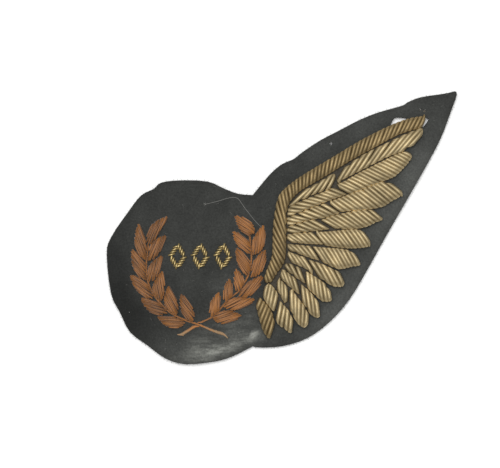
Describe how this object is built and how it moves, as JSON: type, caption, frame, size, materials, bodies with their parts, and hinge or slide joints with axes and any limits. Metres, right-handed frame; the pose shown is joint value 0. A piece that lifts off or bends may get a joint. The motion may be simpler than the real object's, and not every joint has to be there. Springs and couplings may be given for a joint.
{
  "type": "embroidered half-wing cloth badge",
  "caption": "Flat sew-on cloth badge: one feathered wing worked in gilt purl over padding beside a silk laurel wreath, on dark melton with a lining behind.",
  "frame": {"origin": "middle of the badge's overall rectangle, on the flat underside of the lining", "axes": "+Z out of the embroidered face, +X from the wreath towards the wing tip, +Y towards the top of the badge as worn"},
  "size_m": [0.091, 0.071, 0.0032],
  "materials": {
    "cotton_lining": "plain woven cotton, unbleached and dusty",
    "melton_cloth": "milled wool melton, blue-grey gone greenish, napped and matt, chalky where rubbed",
    "felt_padding": "dark pressed wool felt",
    "gilt_purl": "fine coiled gilt wire, tarnished to pale olive gold, bright on its crests",
    "copper_silk": "stranded copper-brown silk, satin sheen along the threads"
  },
  "bodies": {
    "root": {"reverse_lining": "cotton_lining", "melton_cloth": "melton_cloth", "wing_padding": "felt_padding", "leading_edge": "gilt_purl", "second_row_inner": "gilt_purl", "second_row_outer": "gilt_purl", "feather_01_inner": "gilt_purl", "feather_01_outer": "gilt_purl", "feather_02_inner": "gilt_purl", "feather_02_outer": "gilt_purl", "feather_03_inner": "gilt_purl", "feather_03_outer": "gilt_purl", "feather_04_inner": "gilt_purl", "feather_04_outer": "gilt_purl", "feather_05_inner": "gilt_purl", "feather_05_outer": "gilt_purl", "feather_06_inner": "gilt_purl", "feather_06_outer": "gilt_purl", "feather_07_inner": "gilt_purl", "feather_07_outer": "gilt_purl", "feather_08_inner": "gilt_purl", "feather_08_outer": "gilt_purl", "feather_09_inner": "gilt_purl", "feather_09_outer": "gilt_purl", "feather_10_inner": "gilt_purl", "feather_10_outer": "gilt_purl", "feather_11": "gilt_purl", "stem_left": "copper_silk", "stem_right": "copper_silk", "stem_right_tail": "copper_silk", "leaf_left_01": "copper_silk", "leaf_left_02": "copper_silk", "leaf_left_03": "copper_silk", "leaf_left_04": "copper_silk", "leaf_left_05": "copper_silk", "leaf_left_06": "copper_silk", "leaf_left_07": "copper_silk", "leaf_left_08": "copper_silk", "leaf_left_09": "copper_silk", "leaf_left_10": "copper_silk", "leaf_left_11": "copper_silk", "leaf_right_01": "copper_silk", "leaf_right_02": "copper_silk", "leaf_right_03": "copper_silk", "leaf_right_04": "copper_silk", "leaf_right_05": "copper_silk", "leaf_right_06": "copper_silk", "leaf_right_07": "copper_silk", "leaf_right_08": "copper_silk", "leaf_right_09": "copper_silk", "leaf_right_10": "copper_silk", "leaf_right_11": "copper_silk", "ornament_left": "gilt_purl", "ornament_middle": "gilt_purl", "ornament_right": "gilt_purl"}
  },
  "joints": []
}
